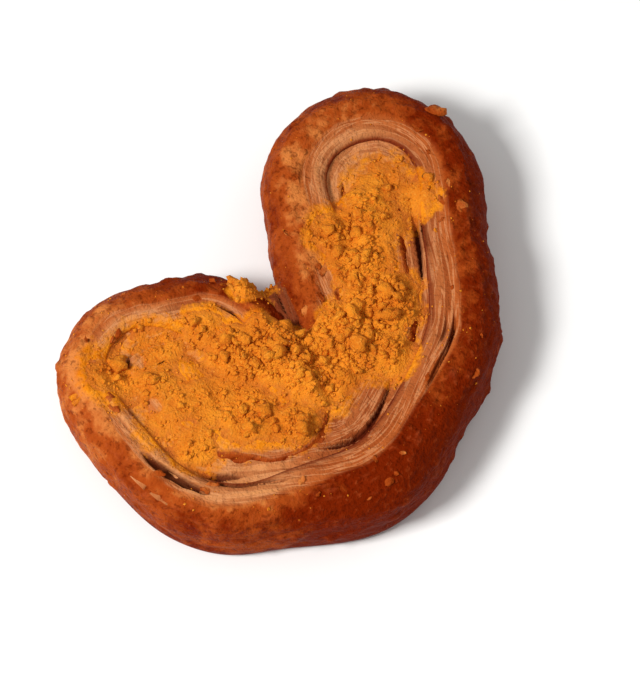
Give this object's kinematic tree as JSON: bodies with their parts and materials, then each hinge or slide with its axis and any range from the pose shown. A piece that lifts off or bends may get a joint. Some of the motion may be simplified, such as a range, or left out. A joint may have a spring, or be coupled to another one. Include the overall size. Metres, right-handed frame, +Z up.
{
  "type": "palmier pastry",
  "caption": "Heart-shaped palmier of folded puff pastry, baked brown, with a rounded crust, flaky cut layers and an orange egg-yolk crumb topping",
  "frame": {"origin": "middle of the bounding box in plan, on the flat underside", "axes": "+Z is up out of the shown face, +Y runs from the belly of the heart to its notch, +X runs across the two lobes to the longer one"},
  "size_m": [0.0812, 0.0614, 0.0148],
  "materials": {
    "baked_pastry": "caramelised puff pastry, satin on the crust and dry on the flaky layers",
    "yolk_crumb": "dry orange salted egg-yolk powder and crumbs"
  },
  "bodies": {
    "root": {"palmier": "baked_pastry"}
  },
  "joints": []
}
